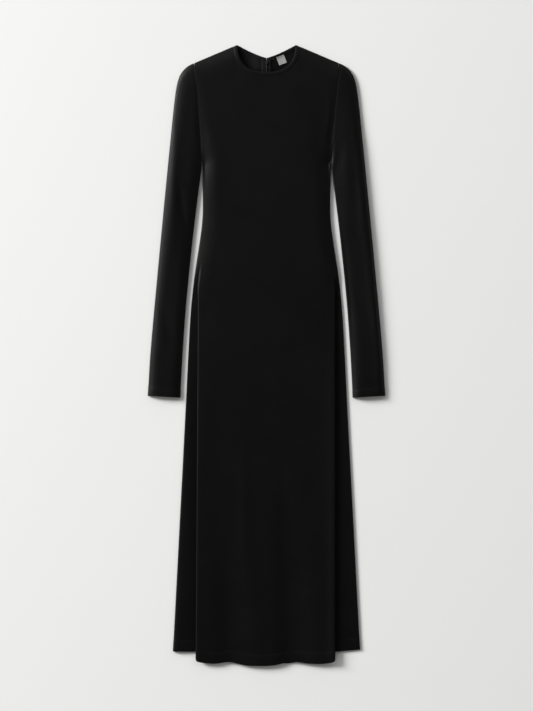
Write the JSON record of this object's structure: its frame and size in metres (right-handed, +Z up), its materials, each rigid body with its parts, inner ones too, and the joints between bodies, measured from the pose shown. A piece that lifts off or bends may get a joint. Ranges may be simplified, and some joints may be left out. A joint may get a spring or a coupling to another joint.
{
  "type": "maxi dress laid flat",
  "caption": "Long-sleeved black A-line maxi dress laid flat on its back, with a bound crew neck, a concealed centre-back zip and a soft fold down each side of the skirt.",
  "frame": {"origin": "middle of the laid dress, on the surface that it lies on", "axes": "+Y along the dress towards the neck, +X across it, +Z up from the surface, through the back and then the front"},
  "size_m": [0.5342, 1.3968, 0.0095],
  "materials": {
    "jersey": "matte black stretch jersey with a faint sheen",
    "zip_tape": "fine black woven tape",
    "zip_coil": "black nylon coil",
    "zip_metal": "black enamelled metal",
    "label": "silvery grey satin, bare"
  },
  "bodies": {
    "dress": {"front_panel": "jersey", "back_panel_left": "jersey", "back_panel_right": "jersey", "sleeve_left": "jersey", "sleeve_right": "jersey", "neck_binding_front": "jersey", "neck_binding_back_left": "jersey", "neck_binding_back_right": "jersey", "zip_tape_left": "zip_tape", "zip_tape_right": "zip_tape", "zip_coil": "zip_coil", "zip_slider": "zip_metal", "label": "label"},
    "pull": {"zip_pull": "zip_metal"}
  },
  "joints": [
    {"name": "pull_swing", "type": "hinge", "parent": "dress", "child": "pull", "pos_m": [0, 0.6561, 0.0014], "axis": [1, 0, 0], "range_deg": [-4, 165]}
  ]
}
